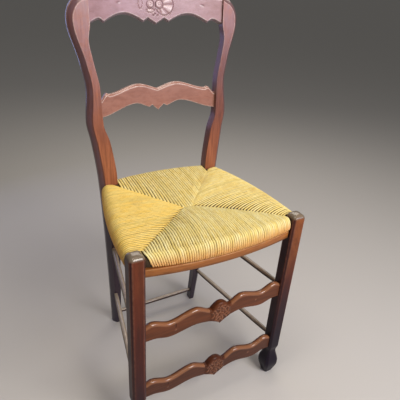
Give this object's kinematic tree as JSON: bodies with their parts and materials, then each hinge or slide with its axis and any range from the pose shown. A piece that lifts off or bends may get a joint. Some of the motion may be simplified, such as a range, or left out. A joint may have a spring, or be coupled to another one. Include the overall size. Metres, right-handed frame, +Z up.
{
  "type": "ladderback bar stool",
  "caption": "Counter-height ladderback stool: woven rush seat, sawn rear posts with a bowed crest rail and slat, waved foot rails, domed front legs with ball feet.",
  "frame": {"origin": "on the floor, under the middle of the stool's box", "axes": "+Z up, +X to the right of someone facing the stool, the sitter faces -Y"},
  "size_m": [0.515, 0.4966, 1.143],
  "materials": {
    "post_wood": "stained, satin varnish",
    "leg_wood": "stained, satin varnish",
    "crest_wood": "stained, satin varnish",
    "slat_wood": "stained, satin varnish",
    "foot_rail_wood": "stained, satin varnish",
    "rung_wood": "stained, satin varnish",
    "apron_wood": "stained, satin varnish",
    "seat_rail_wood": "bare",
    "rush": "natural twisted rush"
  },
  "bodies": {
    "root": {"rear_post_left": "post_wood", "rear_post_right": "post_wood", "front_leg_left": "leg_wood", "front_leg_right": "leg_wood", "crest_rail": "crest_wood", "back_slat": "slat_wood", "foot_rail_upper": "foot_rail_wood", "foot_rail_lower": "foot_rail_wood", "side_rung_upper_left": "rung_wood", "side_rung_upper_right": "rung_wood", "side_rung_lower_left": "rung_wood", "side_rung_lower_right": "rung_wood", "rear_rung": "rung_wood", "apron_front": "apron_wood", "apron_left": "apron_wood", "apron_right": "apron_wood", "seat_rail_front": "seat_rail_wood", "seat_rail_rear": "seat_rail_wood", "seat_rail_left": "seat_rail_wood", "seat_rail_right": "seat_rail_wood", "rush_seat": "rush"}
  },
  "joints": []
}
